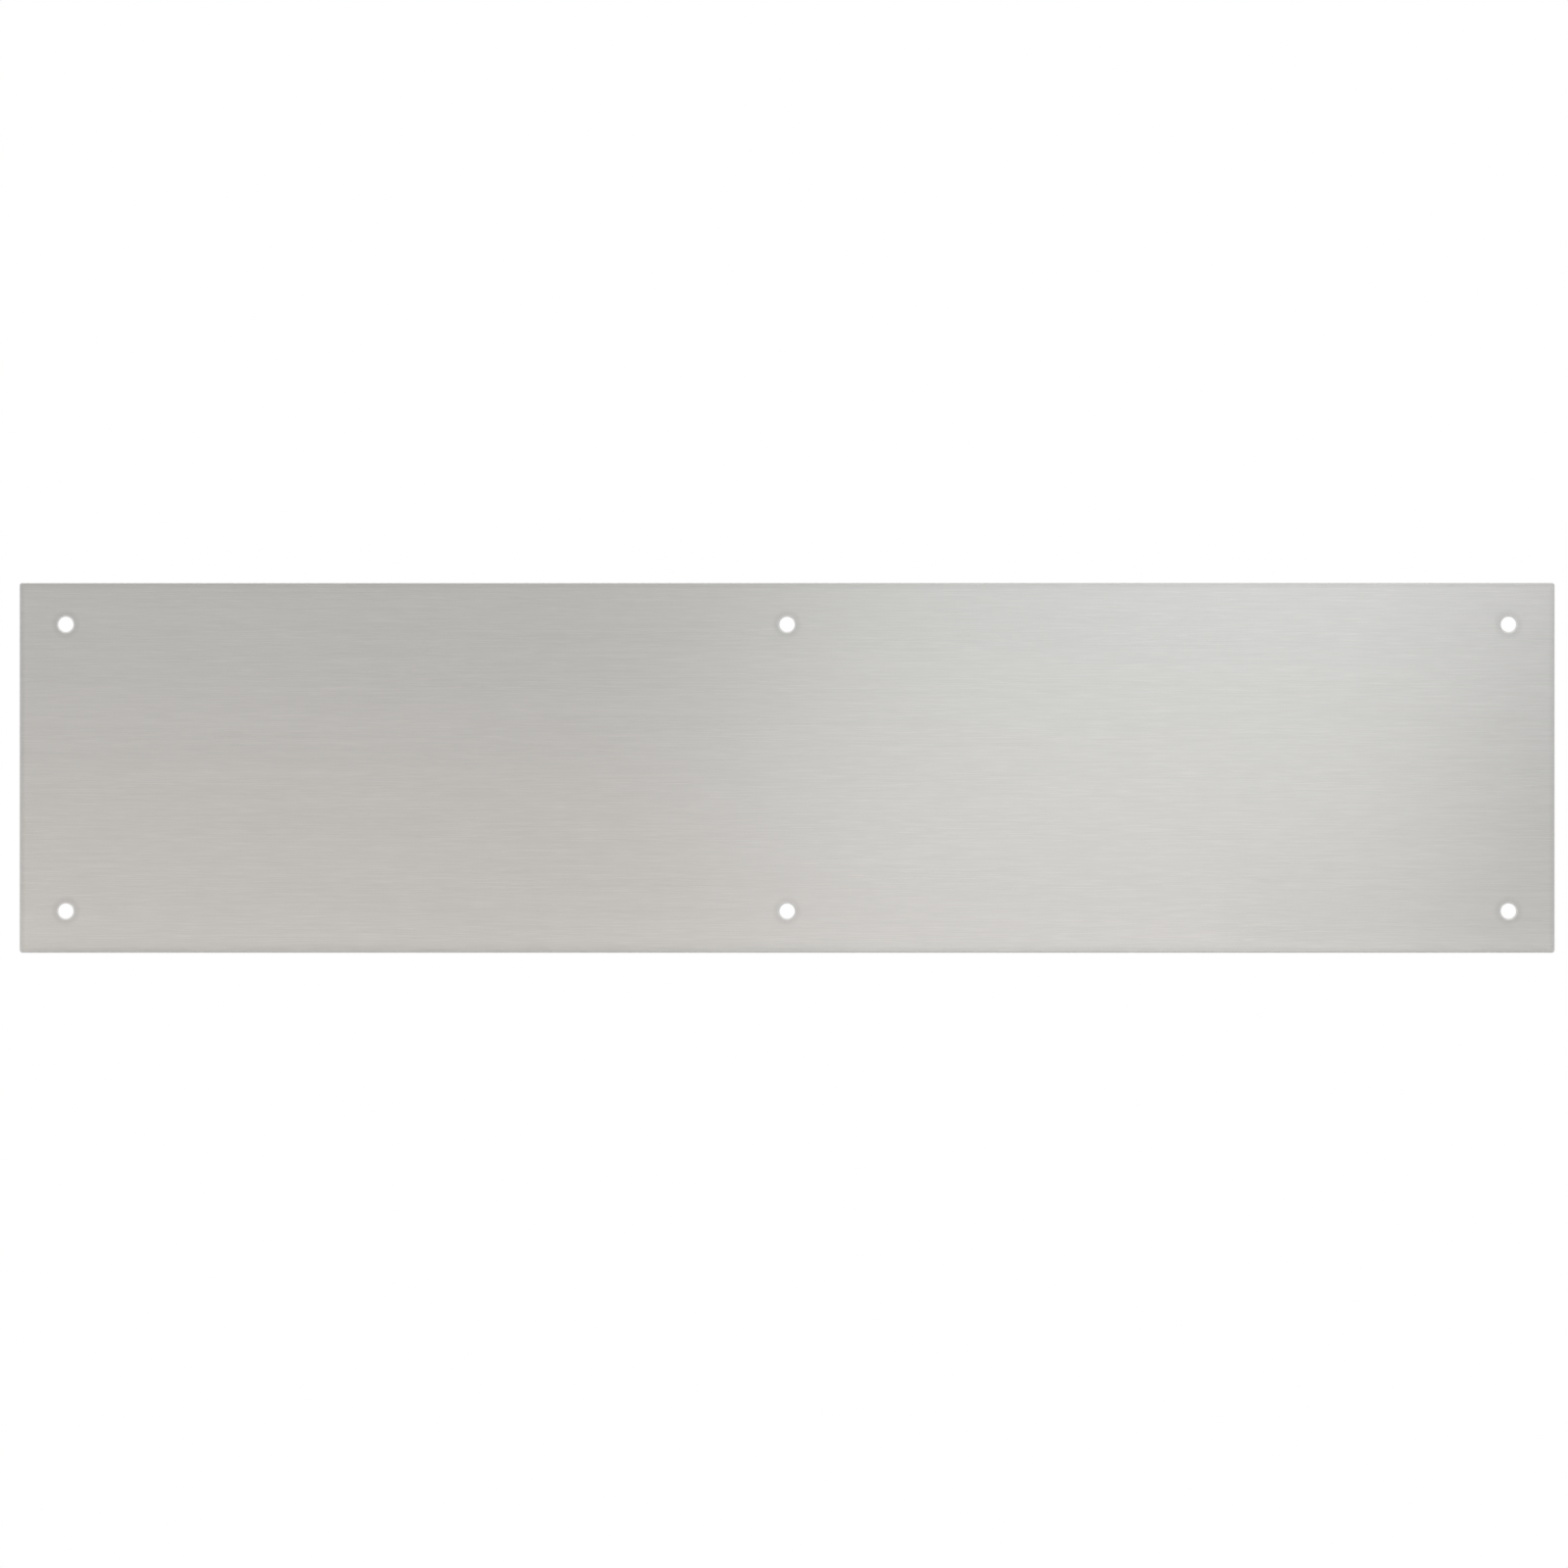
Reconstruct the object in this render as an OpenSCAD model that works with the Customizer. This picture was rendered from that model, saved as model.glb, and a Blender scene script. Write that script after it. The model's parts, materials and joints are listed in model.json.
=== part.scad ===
// Kick plate: one satin stainless steel sheet that covers the foot of a door against scuffs.
// X runs along the plate, Z is up, and the front faces -Y.
// The origin is the centre of the back face, which lies against the door.

/* [Plate] */
// Length of the plate along X
plate_length = 830; // [400:1:1200]
// Height of the plate along Z
plate_height = 200; // [100:1:400]
// Thickness of the sheet
plate_thickness = 1.2; // [1.2:0.1:3]
// Radius of the four corners, seen from the front
corner_radius = 1.5; // [1.2:0.1:10]
// Width and depth of the 45 degree bevel on the four front edges
edge_bevel = 0.5; // [0.2:0.1:1]

/* [Screw holes] */
// Number of holes in the top row, and again in the bottom row
hole_columns = 3; // [2:1:5]
// Distance from the short edges to the nearest hole centres
end_margin = 25; // [12:0.5:60]
// Distance from the long edges to the hole centres
side_margin = 22.5; // [12:0.5:40]
// Diameter of the countersink's rim in the front face
countersink_diameter = 9.8; // [8:0.1:12]
// Thickness of straight bore left behind the 90 degree countersink
bore_land = 0.4; // [0.2:0.05:0.6]

/* [Hidden] */
$fn = 96;
// How far a cutting tool runs past the surface that it cuts
cut_margin = 1;
countersink_depth = plate_thickness - bore_land;
bore_diameter = countersink_diameter - 2 * countersink_depth;
column_pitch = (plate_length - 2 * end_margin) / (hole_columns - 1);
first_column_x = end_margin - plate_length / 2;
row_z = plate_height / 2 - side_margin;

// Cross-section of the sheet: [distance across the plate, y], bevelled on the front
function sheet_section(across) = [
    [-across / 2, 0],
    [across / 2, 0],
    [across / 2, edge_bevel - plate_thickness],
    [across / 2 - edge_bevel, -plate_thickness],
    [edge_bevel - across / 2, -plate_thickness],
    [-across / 2, edge_bevel - plate_thickness]
];

// Middle of the plate, bevelled along the two long edges
module long_edge_slab() {
    rotate([90, 0, 90])
        linear_extrude(height = plate_length - 2 * corner_radius, center = true)
            polygon([for (p = sheet_section(plate_height)) [p[1], p[0]]]);
}

// Full length of the plate, bevelled along the two short edges
module short_edge_slab() {
    linear_extrude(height = plate_height - 2 * corner_radius, center = true)
        polygon(sheet_section(plate_length));
}

// One rounded corner, with the bevel carried round it as a cone
module corner_post() {
    straight = plate_thickness - edge_bevel;
    rotate([90, 0, 0]) {
        cylinder(h = straight, r = corner_radius);
        translate([0, 0, straight])
            cylinder(h = edge_bevel, r1 = corner_radius, r2 = corner_radius - edge_bevel);
    }
}

module sheet_blank() {
    long_edge_slab();
    short_edge_slab();
    for (side = [-1, 1], end = [-1, 1])
        translate([
            end * (plate_length / 2 - corner_radius),
            0,
            side * (plate_height / 2 - corner_radius)
        ])
            corner_post();
}

// Cutting tool for one countersunk hole on the Y axis
module screw_hole_cutter() {
    rotate([90, 0, 0]) {
        translate([0, 0, -cut_margin])
            cylinder(h = plate_thickness + 2 * cut_margin, d = bore_diameter);
        translate([0, 0, bore_land])
            cylinder(
                h = countersink_depth + cut_margin,
                d1 = bore_diameter,
                d2 = countersink_diameter + 2 * cut_margin
            );
    }
}

module plate() {
    color([0.77, 0.76, 0.74])
        difference() {
            sheet_blank();
            for (column = [0 : hole_columns - 1], side = [-1, 1])
                translate([first_column_x + column * column_pitch, 0, side * row_z])
                    screw_hole_cutter();
        }
}

plate();
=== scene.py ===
"""Looks of a kick plate: one satin stainless sheet, rebuilt in the CAD model's own outline.

The mesh adds the small rounds that a finished sheet has, and the materials add its grain."""

import json
import math

import bmesh
import bpy
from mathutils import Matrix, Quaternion, Vector


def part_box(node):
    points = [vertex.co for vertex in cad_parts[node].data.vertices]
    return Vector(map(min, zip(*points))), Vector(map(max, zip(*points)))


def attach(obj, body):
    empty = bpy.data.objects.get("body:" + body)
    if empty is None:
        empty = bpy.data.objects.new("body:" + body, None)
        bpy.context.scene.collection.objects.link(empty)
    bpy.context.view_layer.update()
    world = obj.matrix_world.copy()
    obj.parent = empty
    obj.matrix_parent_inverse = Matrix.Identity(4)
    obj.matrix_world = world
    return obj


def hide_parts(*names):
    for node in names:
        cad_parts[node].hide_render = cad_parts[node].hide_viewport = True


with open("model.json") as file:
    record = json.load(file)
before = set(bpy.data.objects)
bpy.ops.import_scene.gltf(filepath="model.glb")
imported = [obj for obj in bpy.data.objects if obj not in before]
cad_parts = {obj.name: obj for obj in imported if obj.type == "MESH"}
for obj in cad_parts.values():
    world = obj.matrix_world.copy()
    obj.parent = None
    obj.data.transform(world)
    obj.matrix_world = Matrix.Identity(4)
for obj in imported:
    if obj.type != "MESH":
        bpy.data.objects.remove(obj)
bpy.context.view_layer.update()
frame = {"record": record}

MM = 0.001

# ---------------------------------------------------------------- sizes, from the frame

LOW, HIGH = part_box("plate")
LENGTH, THICKNESS, HEIGHT = HIGH - LOW
FRONT_Y, BACK_Y = LOW.y, HIGH.y
MOUNTS = {mount["name"]: mount for mount in frame["record"]["mounts"]}
HOLES = MOUNTS["corner_holes"]["dims"]
HOLE_XS = [side * HOLES["spacing_x_mm"] / 2 * MM for side in (-1, 0, 1)]
HOLE_ZS = [side * HOLES["spacing_y_mm"] / 2 * MM for side in (-1, 1)]
BORE_R = HOLES["hole_r_mm"] * MM

# Sizes that the CAD source also holds
BORE_LAND = 0.4 * MM
RIM_R = BORE_R + THICKNESS - BORE_LAND
BEVEL = 0.5 * MM
CORNER_R = 1.5 * MM

# Small rounds that a finished sheet has on its edges
BEVEL_ROUND = 0.15 * MM
BACK_ROUND = 0.2 * MM
RIM_ROUND = 0.08 * MM

# How the sheet is meshed: a grid on each face, with a square cell of rings round each hole
FACE_MARGIN = 4 * MM  # from the outline to the grid
EDGE_RING_INSET = 1.1 * MM  # from the outline to the last ring that is flat on a face
HOLE_RING_GAP = 0.6 * MM  # the same, from a hole
HOLE_CELL = 12 * MM  # half the width of a cell
HALF_CELL_STEPS = 8  # grid steps from the middle of a cell's side to its corner
CELL_RINGS = 3
FACE_STEP = 12 * MM  # the widest step elsewhere on the grid
ROUND_STEPS = 4
CORNER_STEPS = 8
FAN_ANGLE = math.pi / 4 / HALF_CELL_STEPS
SAME_PLACE = 0.01 * MM


# ---------------------------------------------------------------- mesh of the sheet


def filleted(points, radii):
    """The open outline through these points, with an arc of the given radius at each inner one."""
    made = [points[0]]
    for before, corner, after, radius in zip(points, points[1:], points[2:], radii):
        corner = Vector(corner)
        back, on = (Vector(before) - corner).normalized(), (Vector(after) - corner).normalized()
        half_angle = back.angle(on) / 2
        middle = (back + on).normalized()
        centre = corner + middle * (radius / math.sin(half_angle))
        start = (corner + back * (radius / math.tan(half_angle)) - centre).normalized()
        end = (corner + on * (radius / math.tan(half_angle)) - centre).normalized()
        for step in range(ROUND_STEPS + 1):
            made.append(tuple(centre + radius * start.slerp(end, step / ROUND_STEPS)))
    return made + [points[-1]]


def even_steps(start, end):
    """Places after start, up to and with end, no more than a face step apart."""
    count = math.ceil((end - start) / FACE_STEP)
    return [start + (end - start) * (i + 1) / count for i in range(count)]


def grid_lines(limit, centres):
    """Where the face's grid lines cross one axis: fan-spaced across each hole, even between."""
    lines = [-limit]
    for centre in centres:
        fan = [
            centre + HOLE_CELL * math.tan(k * FAN_ANGLE)
            for k in range(-HALF_CELL_STEPS, HALF_CELL_STEPS + 1)
        ]
        lines += even_steps(lines[-1], fan[0]) + fan[1:]
    return lines + even_steps(lines[-1], limit)


def key(x, z):
    """A grid point's name: its place in whole microns."""
    return round(x / MM * 1000), round(z / MM * 1000)


def in_a_hole_cell(x, z, reach):
    """Whether a place is less than reach from a hole's centre, both along and up."""
    return any(abs(x - cx) < reach and abs(z - cz) < reach for cx in HOLE_XS for cz in HOLE_ZS)


def face_grid(mesh, xs, zs, y):
    """One flat face of the sheet, less the cell round each hole. Returns its vertices by key()."""
    inside = HOLE_CELL - SAME_PLACE
    points = {
        key(x, z): mesh.verts.new((x, y, z))
        for x in xs
        for z in zs
        if not in_a_hole_cell(x, z, inside)
    }
    for x0, x1 in zip(xs, xs[1:]):
        for z0, z1 in zip(zs, zs[1:]):
            if not in_a_hole_cell((x0 + x1) / 2, (z0 + z1) / 2, inside):
                mesh.faces.new([points[key(x, z)] for x, z in ((x0, z0), (x1, z0), (x1, z1), (x0, z1))])
    return points


def bridge(mesh, ring_a, ring_b):
    """Faces between two closed rings of equal count: a triangle where one ring stays on a vertex."""
    count = len(ring_a)
    for i in range(count):
        corners = [ring_a[i], ring_a[(i + 1) % count], ring_b[(i + 1) % count], ring_b[i]]
        corners = [v for n, v in enumerate(corners) if v not in corners[:n]]
        mesh.faces.new(corners)


def outline_stations(xs, zs):
    """Points round the outline: (its x and z, the direction inwards, the grid point beside it)."""
    half_l, half_h = LENGTH / 2, HEIGHT / 2
    sides = [
        [((x, -half_h), (0, 1), (x, zs[0])) for x in xs],
        [((half_l, z), (-1, 0), (xs[-1], z)) for z in zs],
        [((x, half_h), (0, -1), (x, zs[-1])) for x in reversed(xs)],
        [((-half_l, z), (1, 0), (xs[0], z)) for z in reversed(zs)],
    ]
    signs = [(1, -1), (1, 1), (-1, 1), (-1, -1)]
    stations = []
    for quarter, (side, (sign_x, sign_z)) in enumerate(zip(sides, signs)):
        stations += side
        centre = Vector((sign_x * (half_l - CORNER_R), sign_z * (half_h - CORNER_R)))
        for step in range(CORNER_STEPS + 1):
            angle = math.pi / 2 * (quarter - 1 + step / CORNER_STEPS)
            out = Vector((math.cos(angle), math.sin(angle)))
            stations.append((tuple(centre + CORNER_R * out), tuple(-out), side[-1][2]))
    return stations


def edge_rings(mesh, xs, zs, front, back):
    """The bevel, the sides and the back edge, joined to both faces."""
    stations = outline_stations(xs, zs)
    profile = filleted(
        [
            (EDGE_RING_INSET, FRONT_Y),
            (BEVEL, FRONT_Y),
            (0, FRONT_Y + BEVEL),
            (0, BACK_Y),
            (EDGE_RING_INSET, BACK_Y),
        ],
        [BEVEL_ROUND, BEVEL_ROUND, BACK_ROUND],
    )
    rings = [
        [
            mesh.verts.new((x + inset * in_x, y, z + inset * in_z))
            for (x, z), (in_x, in_z), _ in stations
        ]
        for inset, y in profile
    ]
    rings = (
        [[front[key(*beside)] for _, _, beside in stations]]
        + rings
        + [[back[key(*beside)] for _, _, beside in stations]]
    )
    for ring_a, ring_b in zip(rings, rings[1:]):
        bridge(mesh, ring_a, ring_b)


def hole_rings(mesh, centre_x, centre_z, front, back):
    """One countersunk hole, and the flat rings that join it to its cell on both faces."""
    half_sides = 8
    angles = [k * FAN_ANGLE for k in range(half_sides * HALF_CELL_STEPS)]
    profile = filleted(
        [
            (RIM_R + HOLE_RING_GAP, FRONT_Y),
            (RIM_R, FRONT_Y),
            (BORE_R, BACK_Y - BORE_LAND),
            (BORE_R, BACK_Y),
            (BORE_R + HOLE_RING_GAP, BACK_Y),
        ],
        [RIM_ROUND, RIM_ROUND, RIM_ROUND],
    )

    def square(angle):
        """Where the ray at this angle meets the cell's edge."""
        scale = HOLE_CELL / max(abs(math.cos(angle)), abs(math.sin(angle)))
        return math.cos(angle) * scale, math.sin(angle) * scale

    def ring(radius, y, share=0.0):
        """A circle, or a blend of it with the square cell as share goes from 0 to 1."""
        made = []
        for angle in angles:
            square_x, square_z = square(angle)
            x = radius * math.cos(angle) * (1 - share) + square_x * share
            z = radius * math.sin(angle) * (1 - share) + square_z * share
            made.append(mesh.verts.new((centre_x + x, y, centre_z + z)))
        return made

    def cell_edge(points):
        return [points[key(centre_x + x, centre_z + z)] for x, z in map(square, angles)]

    shares = [(i + 1) / (CELL_RINGS + 1) for i in range(CELL_RINGS)]
    rings = [cell_edge(front)]
    rings += [ring(profile[0][0], FRONT_Y, share) for share in reversed(shares)]
    rings += [ring(radius, y) for radius, y in profile]
    rings += [ring(profile[-1][0], BACK_Y, share) for share in shares]
    rings += [cell_edge(back)]
    for ring_a, ring_b in zip(rings, rings[1:]):
        bridge(mesh, ring_a, ring_b)


SURFACES = ("front", "back", "edge", "hole")
FLAT = 0.999


def surface_of(face):
    """Which surface of the sheet a face belongs to."""
    if face.normal.y < -FLAT:
        return "front"
    if face.normal.y > FLAT:
        return "back"
    middle = face.calc_center_median()
    return "hole" if in_a_hole_cell(middle.x, middle.z, HOLE_CELL) else "edge"


def sheet_mesh():
    """The whole sheet as one closed mesh, with a material for each of its surfaces."""
    mesh = bmesh.new()
    xs = grid_lines(LENGTH / 2 - FACE_MARGIN, HOLE_XS)
    zs = grid_lines(HEIGHT / 2 - FACE_MARGIN, HOLE_ZS)
    front = face_grid(mesh, xs, zs, FRONT_Y)
    back = face_grid(mesh, xs, zs, BACK_Y)
    edge_rings(mesh, xs, zs, front, back)
    for x in HOLE_XS:
        for z in HOLE_ZS:
            hole_rings(mesh, x, z, front, back)
    bmesh.ops.recalc_face_normals(mesh, faces=mesh.faces)
    mesh.normal_update()
    for face in mesh.faces:
        face.smooth = True
        face.material_index = SURFACES.index(surface_of(face))
    data = bpy.data.meshes.new("kick_plate")
    mesh.to_mesh(data)
    mesh.free()
    return data


# ---------------------------------------------------------------- materials

STEEL = (0.62, 0.612, 0.6)
MILL_STEEL = (0.56, 0.556, 0.55)
CUT_STEEL = (0.7, 0.695, 0.685)

# Directions across the grain: up the faces, and through the sheet on its edges and in its holes
UP_THE_FACE = (0, 0, 1)
THROUGH_THE_SHEET = (0, 1, 0)

# Where the darker rim of the front face starts to fade and where it ends, from an edge or a hole
RIM_FADE = (0.8 * MM, 3.8 * MM)
RIM_DARKENING = 0.075


def add(tree, kind, inputs=None, **settings):
    """Adds a node. inputs maps a socket's name or number to a value, or to the output that feeds it."""
    made = tree.nodes.new("ShaderNode" + kind)
    for name, value in settings.items():
        setattr(made, name, value)
    for socket, value in (inputs or {}).items():
        if isinstance(value, bpy.types.NodeSocket):
            tree.links.new(value, made.inputs[socket])
        else:
            made.inputs[socket].default_value = value
    return made


def maths(tree, operation, *values):
    """One Math node, on values or outputs in the order of its sockets."""
    return add(tree, "Math", dict(enumerate(values)), operation=operation).outputs[0]


def ramp(tree, value, low, high, to_low=0.0, to_high=1.0):
    """Turns low to high into to_low to to_high, smoothly and no further."""
    made = add(
        tree,
        "MapRange",
        {"Value": value, "From Min": low, "From Max": high, "To Min": to_low, "To Max": to_high},
        interpolation_type="SMOOTHSTEP",
    )
    return made.outputs["Result"]


def streaks(tree, place, size, detail=2.0, seed=0.0):
    """Noise whose marks are about size metres long on X, Y and Z, or endless where size is None.

    It is 0.5 on average."""
    scale = [0.0 if extent is None else 1 / extent for extent in size]
    mapped = add(tree, "Mapping", {"Vector": place, "Location": (seed, seed, seed), "Scale": scale})
    noise = add(
        tree,
        "TexNoise",
        {"Vector": mapped.outputs[0], "Scale": 1.0, "Detail": detail, "Roughness": 0.6},
    )
    return noise.outputs["Fac"]


def blend(tree, *weighted):
    """The sum of (output, weight), each output taken about its middle of 0.5."""
    total = None
    for output, weight in weighted:
        share = maths(tree, "MULTIPLY_ADD", output, weight, -0.5 * weight)
        total = share if total is None else maths(tree, "ADD", total, share)
    return total


def mix_colour(tree, share, first, second, blend_type="MIX"):
    """Mixes two colours, each one a tuple or an output."""
    inputs = {0: share}
    for socket, colour in ((6, first), (7, second)):
        inputs[socket] = colour if isinstance(colour, bpy.types.NodeSocket) else (*colour, 1.0)
    return add(tree, "Mix", inputs, data_type="RGBA", blend_type=blend_type).outputs[2]


def steel(blank, colour, colour_change, roughness, roughness_change, relief, depth, turn, aniso):
    """Finishes a metal. blank is its new material and tree, in which the caller drew the outputs.

    colour_change and roughness_change are signed and about 0. relief is the grain's own and depth
    its height in metres. turn is the direction across the grain, and aniso how much the grain
    stretches highlights that way."""
    material, tree = blank
    shader = tree.nodes["Principled BSDF"]
    level = maths(tree, "ADD", colour_change, 1.0)
    tree.links.new(mix_colour(tree, 1.0, colour, level, "MULTIPLY"), shader.inputs["Base Color"])
    tree.links.new(maths(tree, "ADD", roughness_change, roughness), shader.inputs["Roughness"])
    bump = add(tree, "Bump", {"Height": relief, "Strength": 1.0, "Distance": depth})
    tree.links.new(bump.outputs[0], shader.inputs["Normal"])
    across = add(tree, "CombineXYZ", {0: turn[0], 1: turn[1], 2: turn[2]})
    tree.links.new(across.outputs[0], shader.inputs["Tangent"])
    shader.inputs["Metallic"].default_value = 1.0
    shader.inputs["Anisotropic"].default_value = aniso
    return material


def new_material(name):
    material = bpy.data.materials.new(name)
    material.use_nodes = True
    return material, material.node_tree


def object_place(tree):
    return add(tree, "TexCoord").outputs["Object"]


def rim_shade(tree, place):
    """1 beside the outline and the holes' rims, fading to 0 on the face.

    It copies a thin darker line in the photo, which is most likely the picture's own sharpening
    and not part of the plate."""
    parts = add(tree, "SeparateXYZ", {0: place}).outputs
    side_x = maths(tree, "ABSOLUTE", parts["X"])
    side_z = maths(tree, "ABSOLUTE", parts["Z"])
    from_edge = maths(
        tree,
        "MINIMUM",
        maths(tree, "SUBTRACT", LENGTH / 2, side_x),
        maths(tree, "SUBTRACT", HEIGHT / 2, side_z),
    )
    to_end_column = maths(tree, "ABSOLUTE", maths(tree, "SUBTRACT", side_x, HOLE_XS[-1]))
    to_column = maths(tree, "MINIMUM", side_x, to_end_column)
    to_row = maths(tree, "SUBTRACT", side_z, HOLE_ZS[-1])
    squares = [maths(tree, "POWER", distance, 2.0) for distance in (to_column, to_row)]
    to_centre = maths(tree, "SQRT", maths(tree, "ADD", *squares))
    from_rim = maths(tree, "SUBTRACT", to_centre, RIM_R)
    near = maths(tree, "MINIMUM", from_edge, from_rim)
    return ramp(tree, near, *RIM_FADE, 1.0, 0.0)


def satin_front():
    """Belt-ground satin: fine lines along the sheet, soft bands from the belt, faint clouding."""
    material, tree = new_material("satin_front")
    place = object_place(tree)
    hair = streaks(tree, place, (26 * MM, None, 0.09 * MM), detail=2.0)
    # The deeper cuts are the peaks of their own noise, raised so that they too are 0.5 on average
    cut_noise = streaks(tree, place, (17 * MM, None, 0.16 * MM), detail=1.0, seed=1.7)
    cut = ramp(tree, cut_noise, 0.5, 0.64, 0.25, 1.25)
    line = streaks(tree, place, (160 * MM, None, 0.9 * MM), detail=2.0, seed=3.1)
    band = streaks(tree, place, (700 * MM, None, 11 * MM), detail=1.0, seed=7.7)
    cloud = streaks(tree, place, (90 * MM, None, 60 * MM), detail=2.0, seed=12.3)
    grain = blend(tree, (hair, 0.16), (cut, 0.07), (line, 0.10), (band, 0.04), (cloud, 0.02))
    darker = maths(tree, "MULTIPLY", rim_shade(tree, place), RIM_DARKENING)
    colour = maths(tree, "SUBTRACT", grain, darker)
    rough = blend(tree, (hair, 0.14), (cut, -0.05), (line, 0.08), (band, 0.04), (cloud, 0.05))
    relief = blend(tree, (hair, 1.0), (cut, -0.5), (line, 0.8))
    depth = 0.012 * MM
    return steel((material, tree), STEEL, colour, 0.34, rough, relief, depth, UP_THE_FACE, 0.75)


def mill_back():
    """The back as it left the rolls: smoother, with bands, a frosted grain, wide stains and rubs."""
    material, tree = new_material("mill_back")
    place = object_place(tree)
    roll = streaks(tree, place, (70 * MM, None, 0.5 * MM), detail=3.0, seed=21.0)
    band = streaks(tree, place, (500 * MM, None, 6 * MM), detail=3.0, seed=23.0)
    frost = streaks(tree, place, (0.6 * MM, None, 0.3 * MM), detail=3.0, seed=25.0)
    stain = streaks(tree, place, (90 * MM, None, 45 * MM), detail=5.0, seed=29.0)
    rub_noise = streaks(tree, place, (45 * MM, None, 2 * MM), detail=4.0, seed=33.0)
    rub = ramp(tree, rub_noise, 0.6, 0.7)
    colour = blend(tree, (roll, 0.12), (band, 0.12), (frost, 0.10), (stain, 0.20), (rub, 0.05))
    rough = blend(tree, (roll, 0.10), (band, 0.10), (frost, 0.12), (stain, 0.25), (rub, -0.06))
    relief = blend(tree, (frost, 1.0), (roll, 0.7))
    depth = 0.012 * MM
    return steel((material, tree), MILL_STEEL, colour, 0.34, rough, relief, depth, UP_THE_FACE, 0.4)


def cut_edge():
    """Bevel and sides: lines that run along the edge, left by the edging belt."""
    material, tree = new_material("cut_edge")
    place = object_place(tree)
    line = streaks(tree, place, (14 * MM, 0.05 * MM, 14 * MM), detail=3.0, seed=41.0)
    nick = streaks(tree, place, (3 * MM, 3 * MM, 3 * MM), detail=3.0, seed=43.0)
    colour = blend(tree, (line, 0.10), (nick, 0.05))
    rough = blend(tree, (line, 0.15), (nick, 0.15))
    depth = 0.004 * MM
    return steel((material, tree), STEEL, colour, 0.28, rough, line, depth, THROUGH_THE_SHEET, 0.5)


def turned_hole():
    """Countersink and bore: bright cut metal with the rings that the cutter left."""
    material, tree = new_material("turned_hole")
    place = object_place(tree)
    ring = streaks(tree, place, (9 * MM, 0.06 * MM, 9 * MM), detail=2.0, seed=51.0)
    colour = blend(tree, (ring, 0.06))
    rough = blend(tree, (ring, 0.12))
    depth = 0.003 * MM
    return steel((material, tree), CUT_STEEL, colour, 0.45, rough, ring, depth, THROUGH_THE_SHEET, 0.3)


def kick_plate():
    """The only piece. Weighted normals keep its flat faces flat beside the small rounds."""
    plate = bpy.data.objects.new("kick_plate", sheet_mesh())
    bpy.context.scene.collection.objects.link(plate)
    for material in (satin_front(), mill_back(), cut_edge(), turned_hole()):
        plate.data.materials.append(material)
    weighted = plate.modifiers.new("flat_faces_stay_flat", "WEIGHTED_NORMAL")
    weighted.mode = "FACE_AREA"
    weighted.keep_sharp = True
    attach(plate, "root")
    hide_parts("plate")
    return plate


# ---------------------------------------------------------------- stage, light and camera

FLOOR_HALF = 30.0  # half its width
FLOOR_COLOUR = (0.9, 0.9, 0.9, 1.0)


def pale_floor():
    """A wide pale floor level with the plate's lower edge."""
    mesh = bpy.data.meshes.new("floor")
    corners = [(-1, -1), (1, -1), (1, 1), (-1, 1)]
    mesh.from_pydata([(x * FLOOR_HALF, y * FLOOR_HALF, LOW.z) for x, y in corners], [], [(0, 1, 2, 3)])
    floor = bpy.data.objects.new("floor", mesh)
    bpy.context.scene.collection.objects.link(floor)
    material, tree = new_material("pale_floor")
    shader = tree.nodes["Principled BSDF"]
    shader.inputs["Base Color"].default_value = FLOOR_COLOUR
    shader.inputs["Roughness"].default_value = 0.9
    shader.inputs["Specular IOR Level"].default_value = 0.0
    mesh.materials.append(material)


# The world as light, and as the camera sees it at the horizon and below it
LIGHT_FRONT = (0.56, 0.56, 0.54)
LIGHT_SIDES = (1.0, 1.0, 1.0)
SEEN_LEVEL = (1.0, 1.0, 1.0)
SEEN_JUST_BELOW = (0.887, 0.887, 0.887)
SEEN_WELL_BELOW = (0.853, 0.853, 0.853)


def soft_world():
    """As light, even from the sides and the back and dimmer from the front. To the camera, white,
    or the floor's own tone in directions below the horizon, for where the floor isn't in the way."""
    world = bpy.data.worlds.new("soft_world")
    bpy.context.scene.world = world
    world.use_nodes = True
    tree = world.node_tree
    direction = add(tree, "SeparateXYZ", {0: add(tree, "TexCoord").outputs["Generated"]}).outputs
    from_front = ramp(tree, maths(tree, "MULTIPLY", direction["Y"], -1.0), 0.1, 0.9)
    light = mix_colour(tree, from_front, LIGHT_SIDES, LIGHT_FRONT)
    well_below = ramp(tree, direction["Z"], -0.26, -0.05, 1.0, 0.0)
    floor_tone = mix_colour(tree, well_below, SEEN_JUST_BELOW, SEEN_WELL_BELOW)
    below = ramp(tree, direction["Z"], -0.04, -0.01, 1.0, 0.0)
    seen = mix_colour(tree, below, SEEN_LEVEL, floor_tone)
    is_seen = add(tree, "LightPath").outputs["Is Camera Ray"]
    tree.links.new(mix_colour(tree, is_seen, light, seen), tree.nodes["Background"].inputs["Color"])


AT_THE_PLATE = (0, 1, 0)
UP = (0, 0, 1)
DOWN = (0, 0, -1)


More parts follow.
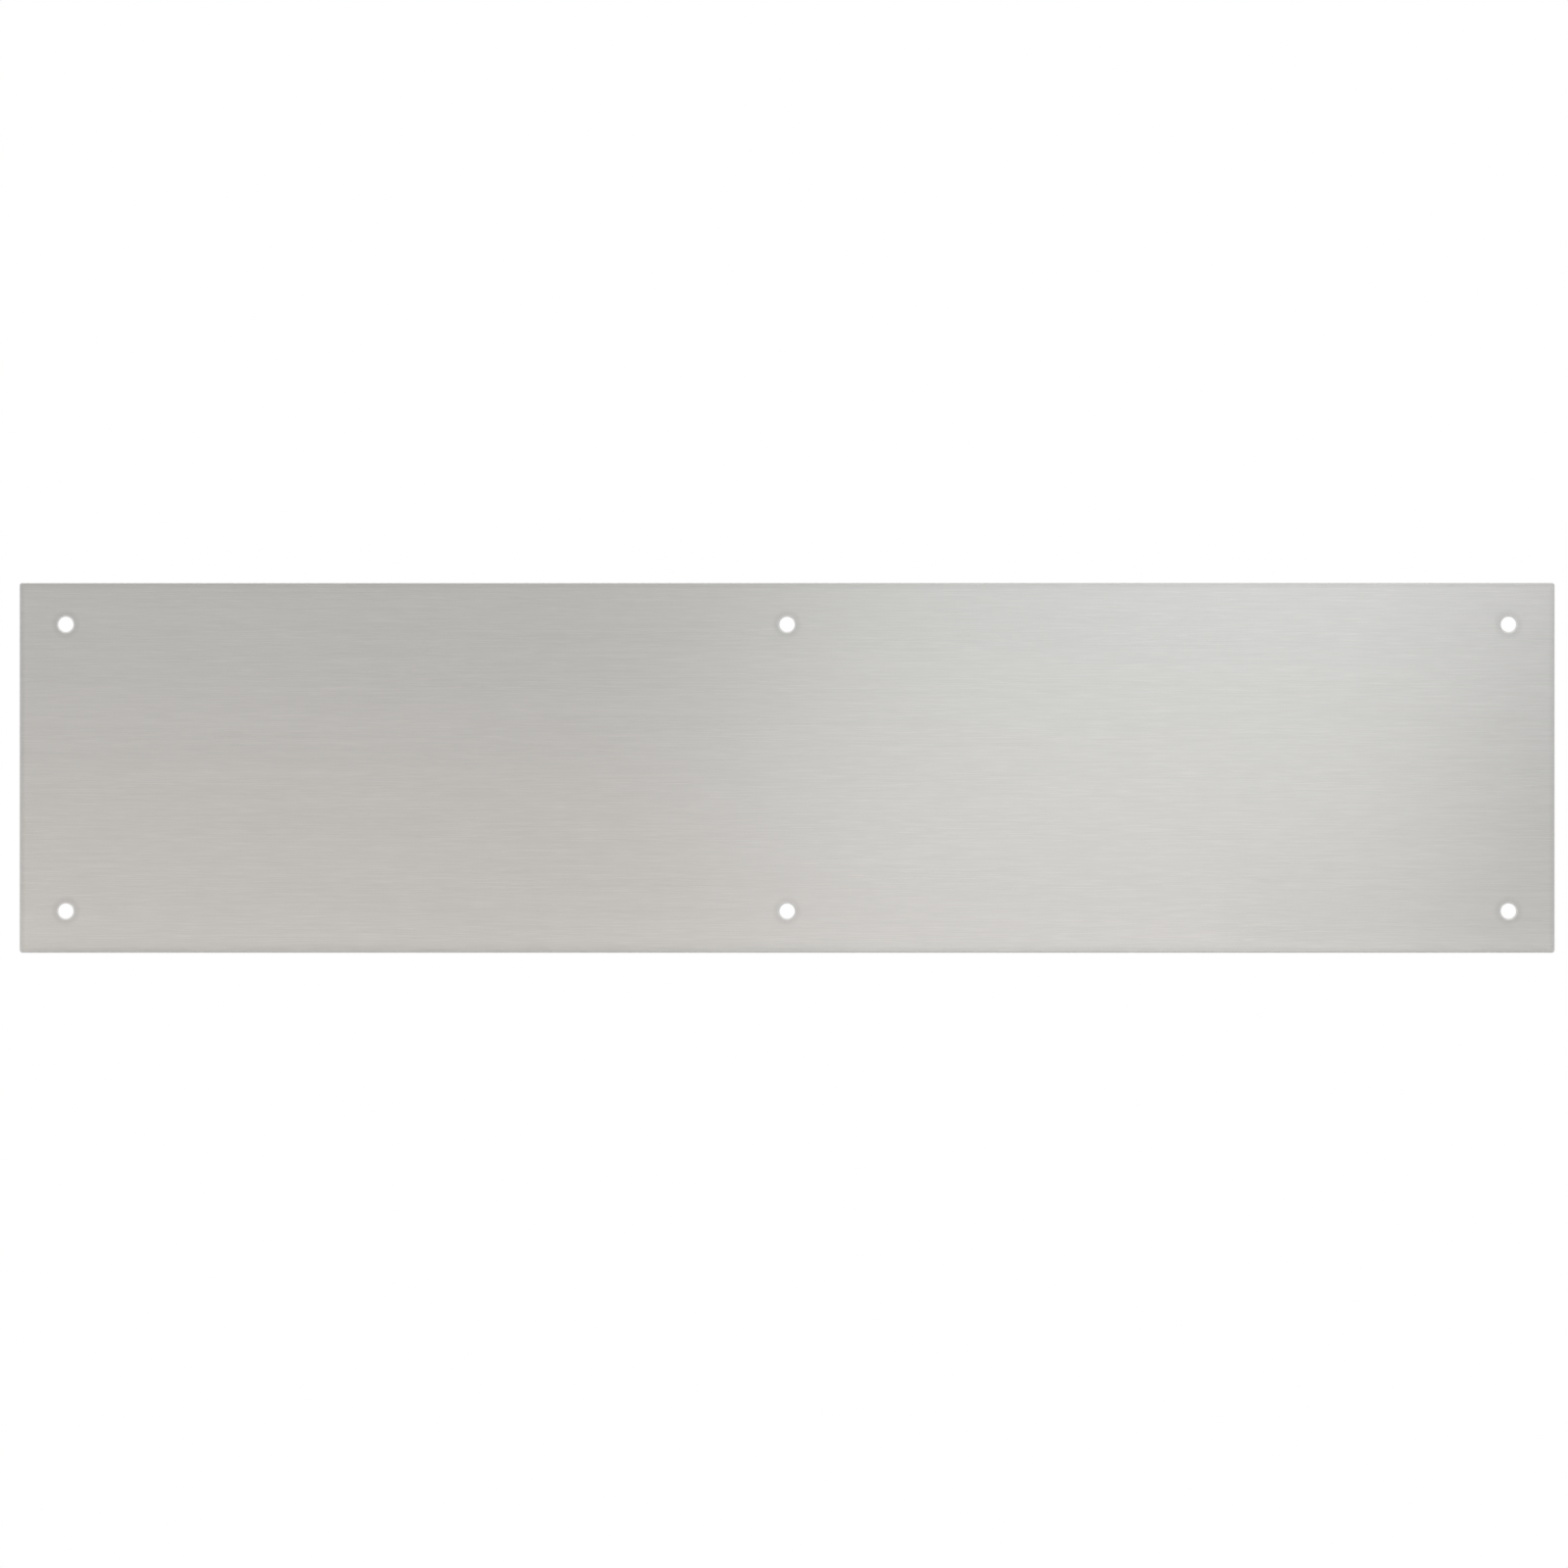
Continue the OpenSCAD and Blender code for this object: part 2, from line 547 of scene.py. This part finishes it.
def soft_light(name, place, facing, size, radiance, tint=(1, 1, 1), lean=0.0, on_floor=False):
    """A soft box that the camera doesn't see, and that lights only the metal unless on_floor.

    size is its width and height, radiance how bright its face is, and lean how far its top leans
    to the right."""
    lamp = bpy.data.lights.new(name, "AREA")
    lamp.shape = "RECTANGLE"
    lamp.size, lamp.size_y = size
    lamp.energy = radiance * math.pi * size[0] * size[1]
    lamp.color = tint
    light = bpy.data.objects.new(name, lamp)
    bpy.context.scene.collection.objects.link(light)
    light.location = place
    light.rotation_mode = "QUATERNION"
    turned = Vector(facing).to_track_quat("-Z", "Y")
    light.rotation_quaternion = Quaternion((0, 1, 0), lean) @ turned
    light.visible_camera = False
    light.visible_diffuse = on_floor


def studio_lights():
    """One soft box overhead for the floor's shadow, and the rest for what the metal reflects.

    The highlight is the soft upright patch right of the plate's middle, and top_right and low_fill
    brighten its upper right end and its lower half. The bounces lie just above the floor, and
    bounce_under reaches in beneath the bevel. Most strengths and tints, and LIGHT_FRONT, were
    fitted to the tones in the photo, so they say nothing about the real studio or the finish."""
    bounce_z = LOW.z + 3 * MM
    contact_z = LOW.z + 0.05 * MM
    soft_light("overhead", (0, -0.9, 2.0), DOWN, (3.6, 1.8), 0.3, on_floor=True)
    highlight_tint, highlight_lean = (0.9, 1, 1.02), math.radians(24)
    soft_light(
        "highlight", (0.227, -0.45, 0.15), AT_THE_PLATE, (0.36, 0.6), 0.366, highlight_tint, highlight_lean
    )
    soft_light("top_right", (0.375, -0.35, 0.2), AT_THE_PLATE, (0.35, 0.1), 0.41, (1, 0.88, 1))
    soft_light("low_fill", (-0.075, -0.35, -0.07), AT_THE_PLATE, (0.9, 0.05), 0.64, (1, 0.84, 0.7))
    soft_light("bounce", (-0.12, -0.155, bounce_z), UP, (0.72, 0.29), 0.12, (1, 0.75, 0.85))
    soft_light("bounce_near", (0, FRONT_Y - 29.6 * MM, contact_z), UP, (0.9, 0.06), 0.285)
    soft_light("bounce_under", (0, FRONT_Y + 0.15 * MM, contact_z), UP, (LENGTH, BEVEL), 0.9)


# The picture's frame: how wide it is at the plate, and where the plate's centre sits in it
FRAME_WIDTH = 0.8478
PLATE_RIGHT_OF_MIDDLE = 1.7 * MM
PLATE_ABOVE_MIDDLE = 8.8 * MM
CAMERA_DISTANCE = 4.0


def camera():
    """Looks square at the front, from a point just left of and below the plate's own centre."""
    data = bpy.data.cameras.new("camera")
    data.type = "ORTHO"
    data.ortho_scale = FRAME_WIDTH
    data.clip_end = 100.0
    made = bpy.data.objects.new("camera", data)
    bpy.context.scene.collection.objects.link(made)
    made.location = (-PLATE_RIGHT_OF_MIDDLE, -CAMERA_DISTANCE, (LOW.z + HIGH.z) / 2 - PLATE_ABOVE_MIDDLE)
    made.rotation_euler = (math.pi / 2, 0, 0)
    bpy.context.scene.camera = made


camera()
kick_plate()
pale_floor()
soft_world()
studio_lights()
bpy.context.scene.view_settings.view_transform = "Standard"
